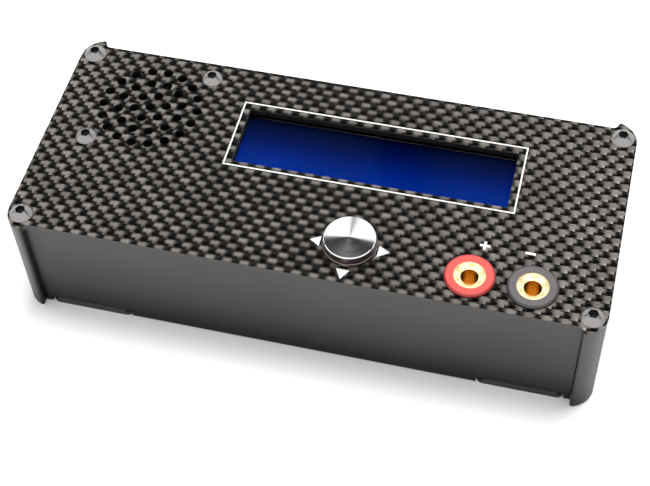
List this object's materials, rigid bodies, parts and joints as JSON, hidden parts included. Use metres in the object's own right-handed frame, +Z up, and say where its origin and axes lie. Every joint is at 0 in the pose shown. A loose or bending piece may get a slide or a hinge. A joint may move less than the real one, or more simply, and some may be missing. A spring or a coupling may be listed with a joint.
{
  "type": "balance battery charger",
  "caption": "Flat black case with a carbon-look top, fan grille, blue display, push dial, red and black output sockets, rear balance ports and an end power inlet.",
  "frame": {"origin": "centre of the bounding box in plan, on the plane that the rubber feet stand on", "axes": "+X along the case's length, towards the output sockets; +Y away from the user, towards the rear wall with the balance ports; +Z up through the top plate"},
  "size_m": [0.1362, 0.0602, 0.0336],
  "materials": {
    "carbon_weave": "satin woven carbon laminate",
    "anodised_sheet": "black anodised, fine satin",
    "anodised_cheek": "bead blasted and black anodised",
    "rubber": "matt",
    "black_screw": "black zinc plated",
    "zinc_steel": "zinc plated",
    "clear_window": "polished clear acrylic",
    "lcd_blue": "lit blue liquid crystal panel",
    "black_metal": "satin",
    "backlight_white": "diffuse",
    "board_green": "solder masked laminate",
    "brass": "turned",
    "black_plastic": "fine texture",
    "gold_plate": "polished gold plate",
    "tin_plate": "tin plated",
    "fan_plastic": "satin",
    "magnet": "bonded ferrite",
    "bright_steel": "ground",
    "bronze": "sintered",
    "copper": "enamelled copper wire",
    "spun_aluminium": "spun and polished",
    "zinc_casting": "die cast",
    "white_plastic": "satin",
    "ivory_plastic": "satin",
    "red_plastic": "gloss",
    "socket_black": "gloss",
    "bare_aluminium": "extruded",
    "ferrite": "coated ferrite",
    "capacitor_sleeve": "shrunk sleeve",
    "chip_epoxy": "moulded epoxy",
    "amber_plastic": "clear amber",
    "red_wire": "silicone sleeve",
    "black_wire": "silicone sleeve"
  },
  "bodies": {
    "case": {"top_plate": "carbon_weave", "channel": "anodised_sheet", "left_cheek": "anodised_cheek", "right_cheek": "anodised_cheek", "rubber_feet": "rubber", "plate_screws": "black_screw", "base_screws": "black_screw", "window_lens": "clear_window", "lcd_bezel": "black_metal", "lcd_glass": "lcd_blue", "lcd_backlight": "backlight_white", "lcd_board": "board_green", "lcd_standoffs": "brass", "lcd_screws": "zinc_steel", "lcd_header": "black_plastic", "lcd_pins": "gold_plate", "fan_frame": "fan_plastic", "fan_bearing": "bronze", "fan_stator": "copper", "fan_screws": "black_screw", "fan_nuts": "zinc_steel", "fan_plug": "ivory_plastic", "fan_leads": "red_wire", "encoder_housing": "zinc_casting", "encoder_base": "black_plastic", "click_dome": "bright_steel", "red_socket": "red_plastic", "black_socket": "socket_black", "socket_contacts": "gold_plate", "socket_nuts": "zinc_steel", "socket_washers": "zinc_steel", "red_lead": "red_wire", "black_lead": "black_wire", "main_board": "board_green", "board_standoffs": "zinc_steel", "board_screws": "zinc_steel", "heat_sink": "bare_aluminium", "heat_sink_screws": "zinc_steel", "power_transistors": "chip_epoxy", "choke_cores": "ferrite", "choke_windings": "copper", "capacitors": "capacitor_sleeve", "logic_chips": "chip_epoxy", "buzzer": "black_plastic", "fuse": "amber_plastic", "inlet_housing": "black_plastic", "inlet_pin": "tin_plate", "port_two": "ivory_plastic", "port_three": "ivory_plastic", "port_four": "ivory_plastic", "port_five": "ivory_plastic", "port_six": "ivory_plastic", "port_pins": "tin_plate"},
    "fan_rotor": {"fan_impeller": "fan_plastic", "fan_magnet": "magnet", "fan_shaft": "bright_steel"},
    "plunger": {"push_plunger": "white_plastic"},
    "dial": {"dial_knob": "spun_aluminium", "encoder_shaft": "bright_steel"}
  },
  "joints": [
    {"name": "fan_spin", "type": "hinge", "parent": "case", "child": "fan_rotor", "pos_m": [-0.04605, 0.0116, 0.0236], "axis": [0, 0, 1], "continuous": true},
    {"name": "knob_press", "type": "slide", "parent": "case", "child": "plunger", "axis": [0, 0, -1], "range_m": [0, 0.0005], "stiffness_N_per_m": 2000, "springref_m": -0.0005},
    {"name": "knob_turn", "type": "hinge", "parent": "plunger", "child": "dial", "pos_m": [0.0102, -0.0184, 0.0301], "axis": [0, 0, 1], "continuous": true}
  ]
}
